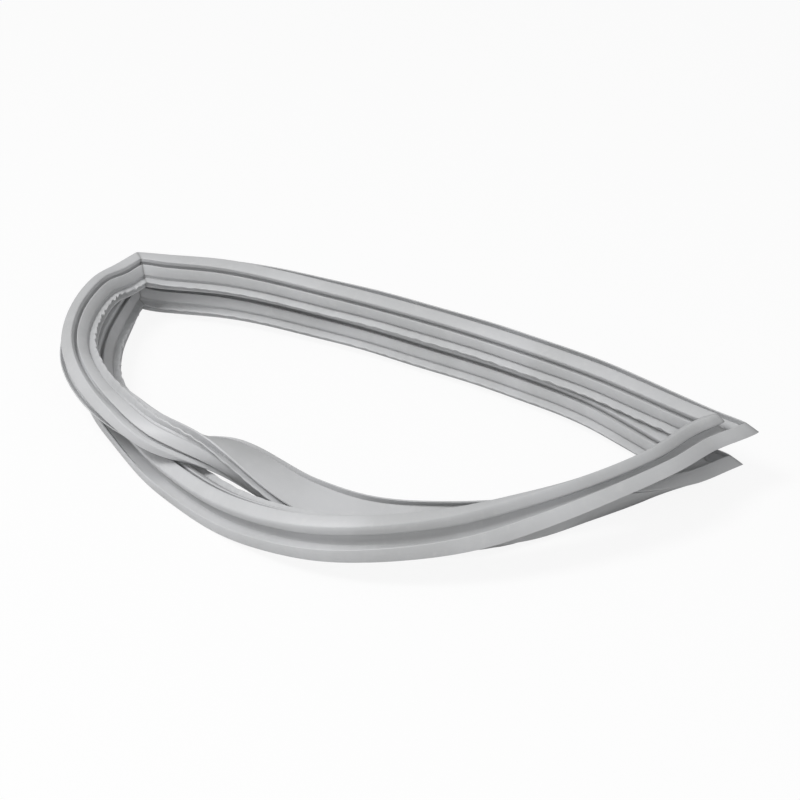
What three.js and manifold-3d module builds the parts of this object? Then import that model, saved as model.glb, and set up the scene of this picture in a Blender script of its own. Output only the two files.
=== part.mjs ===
// Refrigerator door gasket: a welded PVC loop wound twice for storage, with magnet strips inside.
import * as THREE from 'three';
import { mergeVertices } from 'three/addons/utils/BufferGeometryUtils.js';
import Module from 'manifold-3d';

const wasm = await Module();
wasm.setup();
const { Manifold, Mesh } = wasm;

// Section sizes, millimetres
const POCKET_WIDTH = 10.9;
const POCKET_DEPTH = 5.4;
const WALL = 1.1;
const SECTION_DEPTH = 24;
const FIN_REACH = 11.6;
const FIN_DEPTH = 17;
const FIN_THICKNESS = 1.1;
const RIB_REACH = 3.1;
const GROOVE_DEPTH = 9;
const RIB_DEPTH = 5;
const BASE_INNER = 20.5;
const BASE_OUTER = 9.6;
const LIP_TOP = 13.2;
const LIP_REACH = 14.4;
const MAGNET_WIDTH = 7.6;
const MAGNET_THICKNESS = 2.2;
const VENT_DIAMETER = 2.4;

// The route is held at the middle of the section, measured from the outer edge of the pocket face
const HUB_OUT = -6;
const HUB_UP = -13;

// Length left straight beside each weld
const STUB = 25;

// Welded corners: middle of the section, direction in, direction out and the way the corner leans
const CORNERS = [
  { at: [-229, 164, 47], headingIn: 53, headingOut: -8, lean: [0, -0.1] },
  { at: [242, -139, 47.5], headingIn: -47, headingOut: -140, lean: [-0.14, -0.02] },
  { at: [-238, 179, 20], headingIn: 76, headingOut: -11, lean: [0.05, -0.1] },
  { at: [237, -138, 18], headingIn: -47, headingOut: -140, lean: [-0.14, -0.02] },
];

// Hand-placed points between the welds: x, y, height, and roll outward in degrees
const UPPER_SHORT_SIDE = [
  [-148, 149, 47, -23],
  [-50, 101, 46, -31],
  [33, 48, 46, -31],
  [98, 0, 46, -31],
  [162, -55, 46, -28],
];
const LOWER_SHORT_SIDE = [
  [-148, 157, 20, -20],
  [-50, 109, 19, -24],
  [33, 55, 18, -24],
  [98, 7, 18, -24],
  [158, -48, 18, -24],
];
const FRONT_LONG_SIDE = [
  [193, -199, 49, -38],
  [143, -235, 44, -34],
  [90, -260, 41, -16],
  [37, -277, 39, 6],
  [-22, -281, 37, 24],
  [-72, -265, 31, 33],
  [-128, -216, 21, 37],
  [-178, -154, 20, 36],
  [-222, -70, 20, 32],
  [-247, 0, 19, 26],
  [-252, 60, 19, 18],
];
const TWISTED_LONG_SIDE = [
  [190, -171, 16, -42],
  [142, -198, 17, -66],
  [90, -224, 15, -98],
  [37, -239, 13, -128],
  [-22, -232, 13, -147],
  [-74, -206, 18, -166],
  [-135, -172, 40, -194],
  [-187, -158, 51, -250],
  [-214, -131, 55, -281],
  [-246, -73, 53, -307],
  [-265, -6, 50, -323],
  [-268, 62, 49, -332],
  [-259, 120, 48, -342],
];

// The four sides in the order they are welded; the twisted one turns once about itself
const SIDES = [
  { from: 0, to: 1, points: UPPER_SHORT_SIDE, stations: 15, turns: 0, magnet: 'magnet_upper_short' },
  { from: 1, to: 2, points: FRONT_LONG_SIDE, stations: 36, turns: 0, magnet: 'magnet_front_long' },
  { from: 2, to: 3, points: LOWER_SHORT_SIDE, stations: 15, turns: 0, magnet: 'magnet_lower_short' },
  { from: 3, to: 0, points: TWISTED_LONG_SIDE, stations: 40, turns: -1, magnet: 'magnet_twisted_long' },
];

// Vents: how far along each side, and the slope of the wall they go through
const VENT_PLACE = 0.6;
const WALL_SLOPE = THREE.MathUtils.degToRad(69);

const UP = new THREE.Vector3(0, 0, 1);

// Section outline: x runs outward and y up, from the outer edge of the pocket face
function sectionOutline() {
  const fin = FIN_DEPTH;
  const foot = SECTION_DEPTH;
  const pocketIn = -POCKET_WIDTH;
  const pocketBottom = -POCKET_DEPTH;
  const finTip = pocketIn - FIN_REACH;
  const points = [
    // magnet pocket face
    [-0.8, 0],
    [pocketIn + 0.6, 0],
    [pocketIn, -0.7],
    // deep groove between the pocket and the rib
    [pocketIn, pocketBottom + 1.6],
    [pocketIn + 1.5, pocketBottom + 0.4],
    [pocketIn + 1.5, -GROOVE_DEPTH],
    [pocketIn - 0.6, -GROOVE_DEPTH],
    // thin rib along the top of the inner bellows wall
    [pocketIn - RIB_REACH + 1, -RIB_DEPTH],
    [pocketIn - RIB_REACH, -RIB_DEPTH],
    [pocketIn - 6.3, -fin + 3.6],
    // groove over the fin
    [pocketIn - 5, -fin + 2],
    [pocketIn - 5, -fin],
    // inner fin
    [finTip, -fin - 0.3],
    [finTip, -fin - 0.3 - FIN_THICKNESS],
    [pocketIn - 6, -fin - FIN_THICKNESS - 0.4],
    // flat back
    [-BASE_INNER, -foot + 1.2],
    [-BASE_INNER + 0.4, -foot],
    [BASE_OUTER, -foot],
    [BASE_OUTER, -foot + 1.1],
    // notch between the back and the skirt lip
    [5.4, -foot + 1.5],
    [5.4, -foot + 3.4],
    [LIP_REACH - 3, -foot + 3.8],
    // skirt lip
    [LIP_REACH - 1.2, -foot - 0.2],
    [LIP_REACH, -foot],
    [LIP_REACH - 3.4, -LIP_TOP],
    [LIP_REACH - 4.5, -LIP_TOP],
    // open channel
    [LIP_REACH - 5, -foot + 7.2],
    [2.4, -foot + 7],
    // outer bellows wall
    [-1.6, -12.2],
    [-2.4, -9.6],
    // pocket side
    [0.9, -8.4],
    [1.1, -7.2],
    [0, -0.8],
  ];
  return points.map(([x, y]) => new THREE.Vector2(x - HUB_OUT, y - HUB_UP));
}

function pocketHollow() {
  const left = -POCKET_WIDTH + WALL;
  const bottom = -POCKET_DEPTH + WALL;
  const points = [[-WALL, -WALL], [left, -WALL], [left, bottom], [-WALL, bottom]];
  return points.map(([x, y]) => new THREE.Vector2(x - HUB_OUT, y - HUB_UP));
}

// Bellows chamber under the pocket
function chamberHollow() {
  const floor = -SECTION_DEPTH + WALL;
  const points = [
    [-POCKET_WIDTH + 2.7, -POCKET_DEPTH - 1],
    [-POCKET_WIDTH + 2.7, -GROOVE_DEPTH - 1.2],
    [-POCKET_WIDTH - 2.4, -GROOVE_DEPTH - 1.2],
    [-POCKET_WIDTH - 3.8, -FIN_DEPTH + 2.6],
    [-POCKET_WIDTH - 3.8, -FIN_DEPTH - 1.6],
    [-BASE_INNER + 3.4, floor],
    [2.6, floor],
    [0.6, -SECTION_DEPTH + 6.6],
    [-3.2, -11.6],
    [-3.8, -POCKET_DEPTH - 1],
  ];
  return points.map(([x, y]) => new THREE.Vector2(x - HUB_OUT, y - HUB_UP));
}

function magnetOutline() {
  const middleX = -POCKET_WIDTH / 2;
  const middleY = -POCKET_DEPTH / 2;
  const x = MAGNET_WIDTH / 2;
  const y = MAGNET_THICKNESS / 2;
  const points = [[x, y], [-x, y], [-x, -y], [x, -y]];
  return points.map(([px, py]) => new THREE.Vector2(middleX + px - HUB_OUT, middleY + py - HUB_UP));
}

// A corner's own upward direction and its two side directions, square to it
function cornerFrame(corner) {
  const up = new THREE.Vector3(corner.lean[0], corner.lean[1], 1).normalize();
  const along = (heading) => {
    const angle = THREE.MathUtils.degToRad(heading);
    const flat = new THREE.Vector3(Math.cos(angle), Math.sin(angle), 0);
    return flat.addScaledVector(up, -flat.dot(up)).normalize();
  };
  return {
    at: new THREE.Vector3(...corner.at),
    up,
    inward: along(corner.headingIn),
    outward: along(corner.headingOut),
  };
}

function rollOf(up, tangent) {
  const level = UP.clone().addScaledVector(tangent, -UP.dot(tangent)).normalize();
  const out = new THREE.Vector3().crossVectors(level, tangent);
  return Math.atan2(up.dot(out), up.dot(level));
}

function rollFrame(at, tangent, roll) {
  const level = UP.clone().addScaledVector(tangent, -UP.dot(tangent)).normalize();
  const side = new THREE.Vector3().crossVectors(level, tangent);
  const up = level.multiplyScalar(Math.cos(roll)).addScaledVector(side, Math.sin(roll));
  return { at, tangent, up, out: new THREE.Vector3().crossVectors(up, tangent) };
}

function mitreFrame(corner, tangent) {
  const out = new THREE.Vector3().crossVectors(corner.up, tangent);
  const cut = corner.inward.clone().add(corner.outward).normalize();
  return { at: corner.at, tangent, up: corner.up, out, cut };
}

// Frames along one side, from the mitre at its start to the mitre at its end
function sideFrames({ start, end, points, stations, turns }) {
  const leave = start.at.clone().addScaledVector(start.outward, STUB);
  const arrive = end.at.clone().addScaledVector(end.inward, -STUB);
  const middle = points.map(([x, y, z]) => new THREE.Vector3(x, y, z));
  const route = new THREE.CatmullRomCurve3([start.at, leave, ...middle, arrive, end.at]);
  const rollStart = rollOf(start.up, start.outward);
  const rollEnd = rollOf(end.up, end.inward) + turns * 2 * Math.PI;
  const rolls = points.map((point) => THREE.MathUtils.degToRad(point[3]));
  const rollLeave = THREE.MathUtils.lerp(rollStart, rolls[0], 0.6);
  const turn = [rollStart, rollLeave, ...rolls, rollEnd, rollEnd];
  const rollCurve = new THREE.SplineCurve(turn.map((roll) => new THREE.Vector2(roll, 0)));
  const frames = [mitreFrame(start, start.outward)];
  const stub = STUB / route.getLength();
  for (let i = 0; i < stations; i += 1) {
    const u = stub + (1 - 2 * stub) * (i / (stations - 1));
    const t = route.getUtoTmapping(u);
    frames.push(rollFrame(route.getPoint(t), route.getTangent(t), rollCurve.getPoint(t).x));
  }
  frames.push(mitreFrame(end, end.inward));
  return { frames, length: route.getLength() };
}

// One ring of the section, slid along the side on to the mitre plane where there is one
function ringAt(frame, outline) {
  return outline.map((point) => {
    const offset = frame.out.clone().multiplyScalar(point.x).addScaledVector(frame.up, point.y);
    if (frame.cut) {
      offset.addScaledVector(frame.tangent, -offset.dot(frame.cut) / frame.tangent.dot(frame.cut));
    }
    return offset.add(frame.at);
  });
}

// Skin over a run of rings: joined end to start, or capped at both ends
function skin(rings, joined) {
  const count = rings[0].length;
  const vertices = rings.flat().flatMap((point) => point.toArray());
  const triangles = [];
  const spans = joined ? rings.length : rings.length - 1;
  for (let i = 0; i < spans; i += 1) {
    const here = i * count;
    const next = ((i + 1) % rings.length) * count;
    for (let j = 0; j < count; j += 1) {
      const k = (j + 1) % count;
      triangles.push(here + j, here + k, next + k);
      triangles.push(here + j, next + k, next + j);
    }
  }
  if (!joined) {
    const last = (rings.length - 1) * count;
    for (let j = 1; j < count - 1; j += 1) {
      triangles.push(0, j + 1, j);
      triangles.push(last, last + j, last + j + 1);
    }
  }
  return new Manifold(new Mesh({
    numProp: 3,
    vertProperties: new Float32Array(vertices),
    triVerts: new Uint32Array(triangles),
  }));
}

function loopSolid(outline) {
  const rings = sides.flatMap(({ frames }) => frames.slice(0, -1).map((frame) => ringAt(frame, outline)));
  return skin(rings, true);
}

function sideSolid(side, outline) {
  return skin(side.frames.slice(1, -1).map((frame) => ringAt(frame, outline)), false);
}

// Round hole through a wall: centre and direction in the section at one frame
function drill(frame, x, y, direction, length) {
  const hole = new THREE.CylinderGeometry(VENT_DIAMETER / 2, VENT_DIAMETER / 2, length, 8);
  const section = new THREE.Matrix4().makeBasis(frame.out, frame.up, frame.tangent).setPosition(frame.at);
  hole.rotateZ(direction);
  hole.translate(x - HUB_OUT, y - HUB_UP, 0);
  hole.applyMatrix4(section);
  return fromGeometry(hole);
}

function fromGeometry(geometry) {
  const plain = geometry.clone();
  plain.deleteAttribute('normal');
  plain.deleteAttribute('uv');
  const welded = mergeVertices(plain, 1e-4);
  return new Manifold(new Mesh({
    numProp: 3,
    vertProperties: new Float32Array(welded.attributes.position.array),
    triVerts: new Uint32Array(welded.index.array),
  }));
}

function toMesh(solid, name, material) {
  const { vertProperties, triVerts } = solid.getMesh();
  const geometry = new THREE.BufferGeometry();
  geometry.setAttribute('position', new THREE.BufferAttribute(vertProperties, 3));
  geometry.setIndex(new THREE.BufferAttribute(triVerts, 1));
  geometry.computeVertexNormals();
  const mesh = new THREE.Mesh(geometry, material);
  mesh.name = name;
  return mesh;
}

// The hollows are open to the air through small vents, as on the real extrusion
function gasketLoop() {
  let solid = loopSolid(sectionOutline());
  solid = solid.subtract(loopSolid(pocketHollow()));
  solid = solid.subtract(loopSolid(chamberHollow()));
  for (const { frames } of sides) {
    const frame = frames[Math.round(frames.length * VENT_PLACE)];
    solid = solid.subtract(drill(frame, -POCKET_WIDTH - 4.6, -RIB_DEPTH - 4.5, WALL_SLOPE, 5));
    solid = solid.subtract(drill(frame, -POCKET_WIDTH / 2, -POCKET_DEPTH, 0, 4));
  }
  return solid;
}

const corners = CORNERS.map(cornerFrame);
const sides = SIDES.map(({ from, to, points, stations, turns }) => sideFrames({
  start: corners[from],
  end: corners[to],
  points,
  stations,
  turns,
}));

const pvc = new THREE.MeshStandardMaterial({ color: 0xb4b6b8, roughness: 0.55, metalness: 0 });
const ferrite = new THREE.MeshStandardMaterial({ color: 0x3a3634, roughness: 0.8, metalness: 0 });

// Everything is moved so that the loop stands on z = 0 with its bounding box centred
const loop = gasketLoop();
const box = loop.boundingBox();
const shift = [-(box.min[0] + box.max[0]) / 2, -(box.min[1] + box.max[1]) / 2, -box.min[2]];

const group = new THREE.Group();
group.name = 'refrigerator_door_gasket';
group.add(toMesh(loop.translate(shift), 'gasket_loop', pvc));
sides.forEach((side, index) => {
  const magnet = sideSolid(side, magnetOutline()).translate(shift);
  group.add(toMesh(magnet, SIDES[index].magnet, ferrite));
});

export default group;
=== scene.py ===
"""Refrigerator door gasket: one soft PVC section, cut to four lengths, welded at four mitres and
wound twice round as it comes out of its box."""

import math

import bpy
import numpy as np
from mathutils import Matrix, Vector


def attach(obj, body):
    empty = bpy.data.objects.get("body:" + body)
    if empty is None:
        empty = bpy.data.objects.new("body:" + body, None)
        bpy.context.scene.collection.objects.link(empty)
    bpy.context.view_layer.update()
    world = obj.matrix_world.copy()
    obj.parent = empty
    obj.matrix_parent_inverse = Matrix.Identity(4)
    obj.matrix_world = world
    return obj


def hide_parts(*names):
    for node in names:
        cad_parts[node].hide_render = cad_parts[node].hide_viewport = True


MM = 0.001

# Section of the gasket in millimetres: x outward, y up, from the outer edge of the pocket face
POCKET_FACE = [(-0.8, 0), (-5.4, 0.25), (-10.3, 0), (-10.9, -0.7)]
POCKET_GROOVE = [(-10.9, -3.8), (-9.4, -5.0), (-9.4, -9.0), (-11.5, -9.0)]
RIB = [(-13.0, -5.0), (-14.0, -5.0)]
INNER_WALL = [(-15.9, -9.2), (-17.2, -13.4), (-15.9, -15.0), (-15.9, -17.0)]
FIN = [
    (-18.0, -17.0), (-20.2, -17.1), (-22.5, -17.3), (-22.5, -18.4), (-20.2, -18.5), (-18.4, -18.5),
]
FLAT_BACK = [
    (-16.9, -18.5), (-20.5, -22.8), (-20.1, -24.0), (-8.0, -24.0), (9.6, -24.0), (9.6, -22.9),
]
SKIRT_NOTCH = [(5.4, -22.5), (5.4, -20.6), (11.4, -20.2)]
SKIRT = [(13.2, -24.2), (14.4, -24.0), (12.8, -18.6), (11.0, -13.2), (9.9, -13.2)]
CHANNEL = [(9.7, -18.4), (2.6, -18.8), (-0.6, -15.8), (-2.6, -12.4), (-3.0, -9.8)]
POCKET_SIDE = [(0.9, -8.4), (1.1, -7.2), (0.6, -4.0), (0, -0.8)]
SECTION = (
    POCKET_FACE + POCKET_GROOVE + RIB + INNER_WALL + FIN + FLAT_BACK + SKIRT_NOTCH + SKIRT
    + CHANNEL + POCKET_SIDE
)
SOFT_CORNERS = [
    (-0.8, 0), (-10.3, 0), (-17.2, -13.4), (9.6, -24.0), (11.0, -13.2), (1.1, -7.2),
]
FINE_CORNERS = [
    (-13.0, -5.0), (-14.0, -5.0), (-22.5, -17.3), (-22.5, -18.4), (-20.1, -24.0), (14.4, -24.0),
    (-9.4, -9.0), (-15.9, -17.0), (2.6, -18.8), (5.4, -20.6), (9.6, -22.9), (9.9, -13.2),
]
EASED = ((SOFT_CORNERS, 0.45), (FINE_CORNERS, 0.28))
FIN_ROOT = -15.9
FIN_REACH = 6.6
FIN_LEVEL = -17.8
FIN_HALF_HEIGHT = 1.2

# Magnet strip, lying in the middle of the pocket
STRIP = [(-1.65, -1.6), (-9.25, -1.6), (-9.25, -3.8), (-1.65, -3.8)]
STRIP_EASED = ((STRIP, 0.3),)

# The route is held at this point of the section
HUB = (-6.0, -13.0)

# Welded corners: middle of the section, heading in, heading out, lean of the upward direction and
# roll outward of both sections in degrees
CORNERS = [
    ((-229, 164, 47), 53, -8, (0, -0.1), 0),
    ((244, -141, 46), -47, -140, (-0.05, 0), -22),
    ((-238, 179, 20), 76, -11, (0.05, -0.1), 0),
    ((234, -138, 16), -47, -140, (-0.05, 0), -22),
]

# Points between the welds: x, y, height and roll outward in degrees
UPPER_SHORT = [
    (-148, 149, 47, -23), (-50, 101, 46, -31), (33, 48, 46, -31), (98, 0, 46, -31),
    (162, -55, 46, -29),
]
LOWER_SHORT = [
    (-148, 157, 20, -20), (-50, 109, 19, -24), (33, 55, 18, -24), (98, 7, 18, -24),
    (158, -48, 18, -24),
]
FRONT_LONG = [
    (193, -199, 47, -38), (143, -235, 44, -34), (90, -260, 41, -16), (37, -277, 39, 6),
    (-22, -281, 37, 24), (-72, -265, 31, 33), (-128, -216, 21, 37), (-178, -154, 20, 36),
    (-222, -70, 20, 32), (-247, 0, 19, 26), (-252, 60, 19, 18),
]
TWISTED_LONG = [
    (190, -171, 16, -42), (142, -198, 17, -66), (90, -224, 15, -98), (37, -239, 13, -128),
    (-22, -233, 13, -147), (-74, -207, 17, -166), (-135, -172, 39, -195), (-187, -157, 50, -251),
    (-214, -131, 54, -281), (-246, -73, 53, -307), (-265, -6, 50, -324), (-267, 62, 48, -336),
    (-257, 118, 46.5, -350),
]

# From corner, to corner, points, turns about itself, and the fin's ripple in millimetres at even
# steps along the side
SIDES = [
    (0, 1, UPPER_SHORT, 0, (0.3, 0.4, 0.4, 0.6, 0.8, 1.0, 0.5)),
    (1, 2, FRONT_LONG, 0, (0.2, 0.3, 0.3, 0.4, 0.6, 1.0, 1.5, 0.9)),
    (2, 3, LOWER_SHORT, 0, (0.5, 0.5, 0.4, 0.4, 0.4, 0.3, 0.2)),
    (3, 0, TWISTED_LONG, -1, (0.2, 0.3, 0.3, 0.3, 0.5, 0.9, 1.6, 0.8)),
]

# The wound loop's box stands centred over the origin when its route is moved by this
ROUTE_HOME = Vector((5.233, 47.073, 1.715)) * MM

# Straight end of a side at a weld, and the share of the next point's roll that it has by then
STUB = 25.0
STUB_ROLL = 0.5

# Mesh along a side: spans of the first cut, length of a finished span, crowding of the spans
COARSE_SPANS = 20
SPAN = 2.4
CROWDING = 0.4
EASING_STEPS = 2

# Weld: depth and half width of its sunk line, and how near two points are when merged
WELD_GROOVE = 0.3
WELD_WIDTH = 1.1
SEAM_CLOSING = 0.01 * MM

# Ripples of the fin: length, bunching, swelling, sideways share and distance to die out at a weld
RIPPLE_LENGTH = 12.0
BUNCHING, BUNCHING_PERIOD = 1.4, 5.3
SWELLING, SWELLING_PERIOD = 0.3, 3.7
SIDEWAYS, SIDEWAYS_PACE = 0.35, 0.61
RIPPLE_FADE = 25.0

# Sway of the whole section: size, length, distance to die out at a weld, and the depths of the
# section between which it grows from nothing to all
SWAY = 0.25
SWAY_LENGTH = 17.0
SWAY_FADE = 40.0
SWAY_TOP, SWAY_HEIGHT = 4, 16

# Edges sharper than these, in degrees, stay sharp
GASKET_CREASE = 38
STRIP_CREASE = 30

ROUTE_SAMPLES = 4000
ROUTE_STEP = 1e-4


def plain(places):
    """Points as one array."""
    return np.array(places, float)


def spans_of(values, t):
    """For each t from 0 to 1: the four values about its span, and its place in the span."""
    spans = len(values) - 3
    place = np.clip(t * spans, 0, spans - 1e-9)
    span = place.astype(int)
    return [values[span + k] for k in range(4)], place - span


def between_two(b, c, leave, reach, w):
    """Smooth run from b to c that leaves and reaches them at the given slopes."""
    return (
        b + leave * w + (3 * (c - b) - 2 * leave - reach) * w**2
        + (2 * (b - c) + leave + reach) * w**3
    )


def bend_line(points, t):
    """Smooth route through points, t from 0 to 1, eased by the distance between them."""
    points = np.vstack([2 * points[0] - points[1], points, 2 * points[-1] - points[-2]])
    (a, b, c, d), w = spans_of(points, t)
    before, here, after = (
        (((q - p) ** 2).sum(1) ** 0.25)[:, None] for p, q in ((a, b), (b, c), (c, d))
    )
    leave = ((b - a) / before - (c - a) / (before + here) + (c - b) / here) * here
    reach = ((c - b) / here - (d - b) / (here + after) + (d - c) / after) * here
    return between_two(b, c, leave, reach, w[:, None])


def even_line(values, t):
    """Smooth run of single values over t from 0 to 1, at even steps."""
    values = np.concatenate([values[:1], values, values[-1:]])
    (a, b, c, d), w = spans_of(values, t)
    return between_two(b, c, (c - a) / 2, (d - b) / 2, w)


def corner_frame(corner):
    """A corner's place, and for the way in and the way out: direction, upward and outward."""
    at, heading_in, heading_out, lean, roll = corner
    level = Vector((lean[0], lean[1], 1)).normalized()
    roll = math.radians(roll)
    sides = []
    for heading in (heading_in, heading_out):
        flat = Vector((math.cos(math.radians(heading)), math.sin(math.radians(heading)), 0))
        way = (flat - level * flat.dot(level)).normalized()
        up = level * math.cos(roll) + level.cross(way) * math.sin(roll)
        sides.append((way, up, up.cross(way)))
    return Vector(at), *sides


def level_axes(tangent):
    """Upward and outward directions square to each tangent."""
    up = plain([0, 0, 1]) - tangent * tangent[:, 2:3]
    up /= np.linalg.norm(up, axis=1)[:, None]
    return up, np.cross(up, tangent)


def roll_of(up, tangent):
    """How far an upward direction is rolled outward about its tangent."""
    level, out = level_axes(plain([tangent]))
    return math.atan2(float(out[0] @ plain(up)), float(level[0] @ plain(up)))


def side_route(side):
    """Length of a side and a function from distance along it to its frames."""
    start, end, points, turns = side[:4]
    start_at, _, (outward, start_up, _) = corner_frame(CORNERS[start])
    end_at, (inward, end_up, _), _ = corner_frame(CORNERS[end])
    middle = [Vector(point[:3]) for point in points]
    places = plain([start_at, start_at + outward * STUB, *middle, end_at - inward * STUB, end_at])
    first = roll_of(start_up, outward)
    last = roll_of(end_up, inward) + turns * 2 * math.pi
    rolls = [math.radians(point[3]) for point in points]
    rolls = plain([first, first + STUB_ROLL * (rolls[0] - first), *rolls, last, last])
    steps = np.linspace(0, 1, ROUTE_SAMPLES)
    run = bend_line(places, steps)
    distance = np.concatenate([[0], np.cumsum(np.linalg.norm(np.diff(run, axis=0), axis=1))])

    def frames(along):
        t = np.interp(along, distance, steps)
        ahead = bend_line(places, np.minimum(t + ROUTE_STEP, 1))
        tangent = ahead - bend_line(places, np.maximum(t - ROUTE_STEP, 0))
        tangent /= np.linalg.norm(tangent, axis=1)[:, None]
        level, out = level_axes(tangent)
        roll = even_line(rolls, t)[:, None]
        up = level * np.cos(roll) + out * np.sin(roll)
        return bend_line(places, t), tangent, up, np.cross(up, tangent)

    return distance[-1], frames


def select_none():
    """Deselects every object."""
    for other in bpy.context.selected_objects:
        other.select_set(False)


def pick(piece, mode, chosen):
    """Goes into edit mode with only those points, edges or faces selected that a rule chooses."""
    bpy.ops.object.mode_set(mode="EDIT")
    bpy.ops.mesh.select_mode(type=mode)
    bpy.ops.mesh.select_all(action="DESELECT")
    bpy.ops.object.mode_set(mode="OBJECT")
    mesh = piece.data
    for part in {"VERT": mesh.vertices, "EDGE": mesh.edges, "FACE": mesh.polygons}[mode]:
        part.select = chosen(part)
    bpy.ops.object.mode_set(mode="EDIT")


def near_any(places):
    """A rule that chooses points lying on one of the places."""
    same = 0.01
    return lambda point: any(
        math.hypot(point.co.x - x, point.co.y - y) < same for x, y in places
    )


def lengthwise(mesh):
    """A rule that chooses the edges that run along a straight length."""
    shortest = 1
    points = mesh.vertices
    return lambda edge: (
        abs(points[edge.vertices[0]].co.z - points[edge.vertices[1]].co.z) > shortest
    )


def straight_length(section, eased, length, open_ends):
    """The section as one flat face, its edges eased, drawn out to a straight length."""
    select_none()
    bpy.ops.mesh.primitive_circle_add(vertices=len(section), radius=20, fill_type="NGON")
    piece = bpy.context.object
    for vertex, (x, y) in zip(piece.data.vertices, section):
        vertex.co = (x, y, 0)
    for places, size in eased:
        pick(piece, "VERT", near_any(places))
        bpy.ops.mesh.bevel(affect="VERTICES", offset=size, segments=EASING_STEPS)
        bpy.ops.object.mode_set(mode="OBJECT")
    bpy.ops.object.mode_set(mode="EDIT")
    bpy.ops.mesh.select_all(action="SELECT")
    bpy.ops.mesh.extrude_region_move(TRANSFORM_OT_translate={"value": (0, 0, length)})
    bpy.ops.mesh.select_all(action="SELECT")
    bpy.ops.mesh.normals_make_consistent(inside=False)
    bpy.ops.object.mode_set(mode="OBJECT")
    if open_ends:
        pick(piece, "FACE", lambda face: abs(face.normal.z) > 0.5)
        bpy.ops.mesh.delete(type="ONLY_FACE")
        bpy.ops.object.mode_set(mode="OBJECT")
    for spans in (COARSE_SPANS, round(length / COARSE_SPANS / SPAN)):
        pick(piece, "EDGE", lengthwise(piece.data))
        bpy.ops.mesh.subdivide(number_cuts=spans - 1)
        bpy.ops.object.mode_set(mode="OBJECT")
    return piece


def finish(piece, name, crease):
    """Names a piece, turns its faces outward and shades it smooth up to a crease angle."""
    piece.name = name
    select_none()
    piece.select_set(True)
    bpy.context.view_layer.objects.active = piece
    bpy.ops.object.mode_set(mode="EDIT")
    bpy.ops.mesh.select_all(action="SELECT")
    bpy.ops.mesh.normals_make_consistent(inside=False)
    bpy.ops.object.mode_set(mode="OBJECT")
    bpy.ops.object.shade_smooth_by_angle(angle=math.radians(crease))


def coordinates(mesh):
    """Places of a mesh's points."""
    places = np.empty(len(mesh.vertices) * 3, np.float32)
    mesh.vertices.foreach_get("co", places)
    return places.reshape(-1, 3).astype(float)


def put_points(mesh, places):
    """Moves a mesh's points to places in millimetres."""
    mesh.vertices.foreach_set("co", (places * MM).astype(np.float32).ravel())
    mesh.update()


def face_outward(mesh):
    """The section's outward direction at each point of a straight length."""
    normals = np.empty(len(mesh.vertices) * 3, np.float32)
    mesh.vertex_normals.foreach_get("vector", normals)
    normals = normals.reshape(-1, 3)[:, :2]
    return normals / np.maximum(np.linalg.norm(normals, axis=1), 1e-6)[:, None]


def keep_for_material(mesh, name, kind, field, values):
    """Stores a value for each point, which the material reads."""
    kept = mesh.attributes.new(name, kind, "POINT")
    kept.data.foreach_set(field, values.astype(np.float32).ravel())


def ripple_fin(section, along, size):
    """Ripples the thin fin by a size for each point, up and down and a little sideways."""
    on_fin = np.clip((FIN_ROOT - section[:, 0]) / FIN_REACH, 0, 1)
    on_fin *= np.abs(section[:, 1] - FIN_LEVEL) < FIN_HALF_HEIGHT
    turn = 2 * math.pi * along / RIPPLE_LENGTH
    bunched = np.sin(turn + BUNCHING * np.sin(turn / BUNCHING_PERIOD))
    wave = bunched * (1 - SWELLING + SWELLING * np.sin(turn / SWELLING_PERIOD + 1))
    section[:, 1] += on_fin**1.5 * size * wave
    section[:, 0] += on_fin * SIDEWAYS * size * np.sin(turn * SIDEWAYS_PACE + 2)


def sway_section(section, along, from_weld):
    """Lets the lower part of the section sway, as a soft part does when it is laid down."""
    sway = SWAY * np.clip(from_weld / SWAY_FADE, 0, 1)
    depth = np.clip((-section[:, 1] - SWAY_TOP) / SWAY_HEIGHT, 0, 1)
    section[:, 0] += sway * np.sin(along / SWAY_LENGTH + 0.8) * depth


def mitre_slide(corner, leaving, section):
    """How far each point slides along its side to lie on the weld's plane."""
    ways = corner_frame(corner)[1:]
    across = plain((ways[0][0] + ways[1][0]).normalized())
    way, up, out = map(plain, ways[leaving])
    flat = out * section[:, 0:1] + up * section[:, 1:2]
    return -(flat @ across) / (way @ across)


def lay_along(piece, side, length, frames):
    """Bends the straight length along its route, ripples its fin and cuts its ends to mitres."""
    start, end, *_, ripple = side
    mesh = piece.data
    places = coordinates(mesh)
    share = places[:, 2] / length

    # spans are short near the welds and at the middle of the side
    along = length * (share - CROWDING * np.sin(4 * math.pi * share) / (4 * math.pi))
    from_weld = np.minimum(along, length - along)
    at_weld = np.exp(-((from_weld / WELD_WIDTH) ** 2))
    section = places[:, :2] - face_outward(mesh) * (WELD_GROOVE * at_weld)[:, None]
    profile = np.column_stack([places[:, :2], along]) * MM
    keep_for_material(mesh, "profile", "FLOAT_VECTOR", "vector", profile)
    keep_for_material(mesh, "weld", "FLOAT", "value", at_weld)

    size = np.interp(share, np.linspace(0, 1, len(ripple)), ripple)
    ripple_fin(section, along, size * np.clip(from_weld / RIPPLE_FADE, 0, 1))
    sway_section(section, along, from_weld)
    section -= plain(HUB)

    at, tangent, up, out = frames(along)
    offset = out * section[:, 0:1] + up * section[:, 1:2]
    for corner, near, leaving in ((start, along, 1), (end, length - along, 0)):
        slide = mitre_slide(CORNERS[corner], leaving, section)
        offset += tangent * (slide * np.clip(1 - near / STUB, 0, 1))[:, None]
    put_points(mesh, at + offset)


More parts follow.
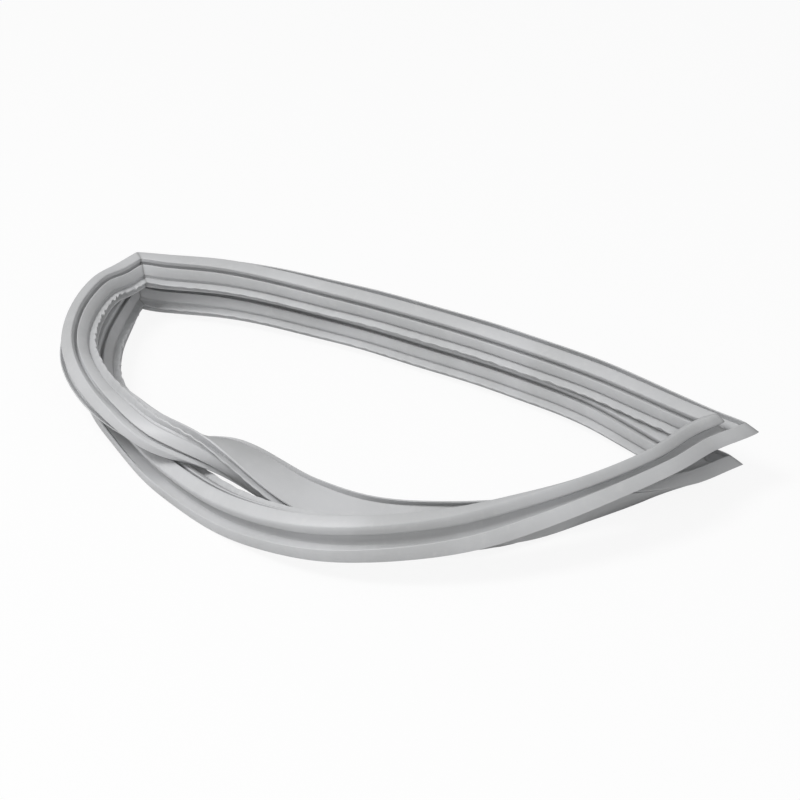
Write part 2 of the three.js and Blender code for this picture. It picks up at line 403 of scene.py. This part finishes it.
def magnet_strip(side, name):
    """One strip of magnet in the pocket of a side, cut short of the welds."""
    length, frames = side_route(side)
    piece = straight_length(STRIP, STRIP_EASED, length - 2 * STUB, open_ends=False)
    places = coordinates(piece.data)
    at, _, up, out = frames(places[:, 2] + STUB)
    section = places[:, :2] - plain(HUB)
    put_points(piece.data, at + out * section[:, 0:1] + up * section[:, 1:2])
    finish(piece, name, STRIP_CREASE)
    return piece


def gasket():
    """Four lengths, welded into one closed loop."""
    lengths = []
    for side in SIDES:
        length, frames = side_route(side)
        piece = straight_length(SECTION, EASED, length, open_ends=True)
        lay_along(piece, side, length, frames)
        lengths.append(piece)
    select_none()
    for piece in lengths:
        piece.select_set(True)
    bpy.context.view_layer.objects.active = lengths[0]
    bpy.ops.object.join()
    bpy.ops.object.mode_set(mode="EDIT")
    bpy.ops.mesh.select_mode(type="VERT")
    bpy.ops.mesh.select_all(action="SELECT")
    bpy.ops.mesh.remove_doubles(threshold=SEAM_CLOSING)
    bpy.ops.object.mode_set(mode="OBJECT")
    loop = bpy.context.object
    finish(loop, "gasket", GASKET_CREASE)
    return loop


class Shade:
    """A shader socket that takes part in sums as a number does."""

    def __init__(self, tree, socket=None):
        self.tree = tree
        self.socket = socket

    def make(self, kind, settings=None, values=None, output=0):
        """Adds a node: its settings first, then the values or links of its sockets."""
        node = self.tree.nodes.new(kind)
        for name, value in (settings or {}).items():
            setattr(node, name, value)
        for name, value in (values or {}).items():
            if isinstance(value, Shade):
                value.feed(node, name)
            else:
                node.inputs[name].default_value = value
        return Shade(self.tree, node.outputs[output])

    def feed(self, node, name):
        """Links this value to a socket of a node."""
        self.tree.links.new(self.socket, node.inputs[name])

    def maths(self, operation, first, second):
        """A Math node on two values."""
        return self.make("ShaderNodeMath", {"operation": operation}, {0: first, 1: second})

    def __add__(self, other):
        return self.maths("ADD", self, other)

    def __radd__(self, other):
        return self.maths("ADD", other, self)

    def __mul__(self, other):
        return self.maths("MULTIPLY", self, other)

    def __rmul__(self, other):
        return self.maths("MULTIPLY", other, self)

    def stretched(self, scale):
        """A vector times a scale for each direction."""
        return self.make("ShaderNodeVectorMath", {"operation": "MULTIPLY"}, {0: self, 1: scale})

    def noise(self, scale, detail):
        """Cloudy noise over this place, from 0 to 1."""
        values = {"Vector": self, "Scale": scale, "Detail": detail}
        return self.make("ShaderNodeTexNoise", values=values)

    def between(self, low, high):
        """The value's place between two limits, from 0 to 1."""
        values = {"Value": self, 1: low, 2: high}
        return self.make("ShaderNodeMapRange", {"interpolation_type": "SMOOTHSTEP"}, values)

    def blend(self, first, second):
        """A colour mixed from two by this value."""
        factor, colour_a, colour_b, colour_out = 0, 6, 7, 2
        values = {factor: self, colour_a: first, colour_b: second}
        return self.make("ShaderNodeMix", {"data_type": "RGBA"}, values, colour_out)

    def bump(self, strength, distance):
        """A surface direction, roughened by this value as a height."""
        values = {"Strength": strength, "Distance": distance, "Height": self}
        return self.make("ShaderNodeBump", values=values)


def node_of(tree, kind):
    """The node of a kind that a new tree already has."""
    return next(node for node in tree.nodes if node.type == kind)


def new_material(name):
    """A material, its tree and its surface node."""
    material = bpy.data.materials.new(name)
    material.use_nodes = True
    tree = material.node_tree
    return material, tree, node_of(tree, "BSDF_PRINCIPLED")


def attribute(tree, name, output):
    """A value stored for each point of the mesh."""
    return Shade(tree).make("ShaderNodeAttribute", {"attribute_name": name}, output=output)


def object_place(tree):
    """The place on the piece."""
    return Shade(tree).make("ShaderNodeTexCoord", output="Object")


PVC = (0.56, 0.565, 0.575, 1)
PVC_WORN = (0.50, 0.505, 0.51, 1)
PVC_DUST = (0.62, 0.62, 0.615, 1)
SEAM_SHADOW = (0.30, 0.30, 0.30, 1)
DUST_SHARE = 0.35
DIE_LINE_SHARE = 0.35
SEAM_SHARE = 0.8
DIE_LINES = (1400.0, 1400.0, 6.0)
PVC_ROUGHNESS = 0.46
PVC_IOR = 1.5

FERRITE = (0.045, 0.041, 0.038, 1)
FERRITE_DUSTY = (0.09, 0.085, 0.08, 1)
FERRITE_ROUGHNESS = 0.75


def soft_pvc():
    """Light grey soft PVC with die lines along its length, cloudy handling marks and painted shadow
    along the sunk welds.
    """
    material, tree, surface = new_material("soft_pvc")
    profile = attribute(tree, "profile", "Vector")
    weld = attribute(tree, "weld", "Fac")
    place = object_place(tree)

    clouds = place.noise(14.0, 4.0).between(0.35, 0.7)
    dust = place.noise(160.0, 3.0).between(0.5, 0.8)
    die_lines = profile.stretched(DIE_LINES).noise(1.0, 2.0)
    colour = clouds.blend(PVC, PVC_WORN)
    colour = (dust * DUST_SHARE).blend(colour, PVC_DUST)
    colour = (die_lines.between(0.62, 0.8) * DIE_LINE_SHARE).blend(colour, PVC_WORN)
    # painted shadow: the colour darkens along the sunk weld lines
    colour = (weld * SEAM_SHARE).blend(colour, SEAM_SHADOW)
    colour.feed(surface, "Base Color")

    roughness = PVC_ROUGHNESS + clouds * 0.1 + dust * 0.08
    roughness.feed(surface, "Roughness")

    relief = die_lines * 0.7 + place.noise(2200.0, 2.0) * 0.3
    relief.bump(0.22, 0.0003).feed(surface, "Normal")
    surface.inputs["IOR"].default_value = PVC_IOR
    return material


def ferrite():
    """Dark ferrite-filled rubber strip, matt and a little dusty."""
    material, tree, surface = new_material("ferrite_strip")
    place = object_place(tree)
    dusty = place.noise(260.0, 4.0).between(0.45, 0.75)
    dusty.blend(FERRITE, FERRITE_DUSTY).feed(surface, "Base Color")
    roughness = FERRITE_ROUGHNESS + dusty * 0.15
    roughness.feed(surface, "Roughness")
    place.noise(1500.0, 3.0).bump(0.3, 0.0002).feed(surface, "Normal")
    return material


WHITE = (1, 1, 1, 1)

# Floor: side, drop below the part in metres, colour, and how far it is whitened to the camera
FLOOR_SIDE = 12
FLOOR_DROP = 0.0002
FLOOR_GREY = (0.86, 0.86, 0.86, 1)
FLOOR_WHITENING = 0.9

SKY_STRENGTH = 0.41

# Soft lights: name, place, side of the lit square and power
LIGHTS = (
    ("key", (-1.4, -0.8, 2.4), 1.0, 48),
    ("fill", (0.4, -2.4, 1.3), 1.2, 8),
)
LIGHT_TARGET = Vector((0, 0, 0.03))

CAMERA_ELEVATION = math.radians(27)
CAMERA_DISTANCE = 2.075
CAMERA_LENS = 112.5
CAMERA_SENSOR = 36


def seen_by_camera(tree):
    """One on rays that come straight from the camera, else nought."""
    return Shade(tree).make("ShaderNodeLightPath", output="Is Camera Ray")


def floor():
    """A wide pale floor that looks nearly white and keeps the gasket's shadow."""
    select_none()
    bpy.ops.mesh.primitive_plane_add(size=FLOOR_SIDE, location=(0, 0, -FLOOR_DROP))
    plane = bpy.context.object
    plane.name = "floor"
    material, tree, surface = new_material("pale_floor")
    surface.inputs["Base Color"].default_value = FLOOR_GREY
    surface.inputs["Roughness"].default_value = 0.9
    surface.inputs["Specular IOR Level"].default_value = 0.1
    seen = seen_by_camera(tree)
    glow = seen.make("ShaderNodeEmission", values={"Color": WHITE, "Strength": 1.0})
    lit = Shade(tree, surface.outputs[0])
    values = {0: seen * FLOOR_WHITENING, 1: lit, 2: glow}
    whitened = seen.make("ShaderNodeMixShader", values=values)
    whitened.feed(node_of(tree, "OUTPUT_MATERIAL"), "Surface")
    plane.data.materials.append(material)


def studio_sky():
    """Even pale light from all round, seen as white."""
    world = bpy.data.worlds.new("studio")
    bpy.context.scene.world = world
    world.use_nodes = True
    tree = world.node_tree
    background = node_of(tree, "BACKGROUND")
    background.inputs["Color"].default_value = WHITE
    background.inputs["Strength"].default_value = SKY_STRENGTH
    seen = seen_by_camera(tree)
    white = seen.make("ShaderNodeBackground", values={"Color": WHITE, "Strength": 1.0})
    values = {0: seen, 1: Shade(tree, background.outputs[0]), 2: white}
    mixed = seen.make("ShaderNodeMixShader", values=values)
    mixed.feed(node_of(tree, "OUTPUT_WORLD"), "Surface")


def soft_box(name, place, size, power):
    """A square soft light turned to the gasket."""
    lamp = bpy.data.lights.new(name, "AREA")
    lamp.shape = "SQUARE"
    lamp.size = size
    lamp.energy = power
    light = bpy.data.objects.new(name, lamp)
    light.location = place
    light.rotation_euler = (LIGHT_TARGET - Vector(place)).to_track_quat("-Z", "Y").to_euler()
    bpy.context.scene.collection.objects.link(light)


def camera(target):
    """The photograph's viewpoint: low in front, with a long lens."""
    lens = bpy.data.cameras.new("camera")
    lens.lens = CAMERA_LENS
    lens.sensor_width = CAMERA_SENSOR
    eye = bpy.data.objects.new("camera", lens)
    away = Vector((0, -math.cos(CAMERA_ELEVATION), math.sin(CAMERA_ELEVATION)))
    eye.location = target + away * CAMERA_DISTANCE
    eye.rotation_euler = (-away).to_track_quat("-Z", "Y").to_euler()
    bpy.context.scene.collection.objects.link(eye)
    bpy.context.scene.camera = eye


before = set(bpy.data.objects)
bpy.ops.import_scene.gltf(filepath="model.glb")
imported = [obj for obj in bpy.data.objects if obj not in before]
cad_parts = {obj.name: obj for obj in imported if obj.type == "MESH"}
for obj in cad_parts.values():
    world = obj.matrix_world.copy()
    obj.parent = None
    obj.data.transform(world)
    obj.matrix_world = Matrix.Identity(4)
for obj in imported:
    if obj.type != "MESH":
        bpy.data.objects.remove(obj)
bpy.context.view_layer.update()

loop = gasket()
loop.data.transform(Matrix.Translation(ROUTE_HOME))
loop.data.materials.clear()
loop.data.materials.append(soft_pvc())
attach(loop, "root")
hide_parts("gasket_loop")

ferrite_strip = ferrite()
STRIP_NODES = (
    "magnet_upper_short", "magnet_front_long", "magnet_lower_short", "magnet_twisted_long",
)
for side, node in zip(SIDES, STRIP_NODES):
    strip = magnet_strip(side, "strip_" + node.removeprefix("magnet_"))
    strip.data.transform(Matrix.Translation(ROUTE_HOME))
    strip.data.materials.append(ferrite_strip)
    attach(strip, "root")
    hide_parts(node)

floor()
studio_sky()
for name, place, size, power in LIGHTS:
    soft_box(name, place, size, power)
camera(ROUTE_HOME)

bpy.context.scene.view_settings.view_transform = "Standard"
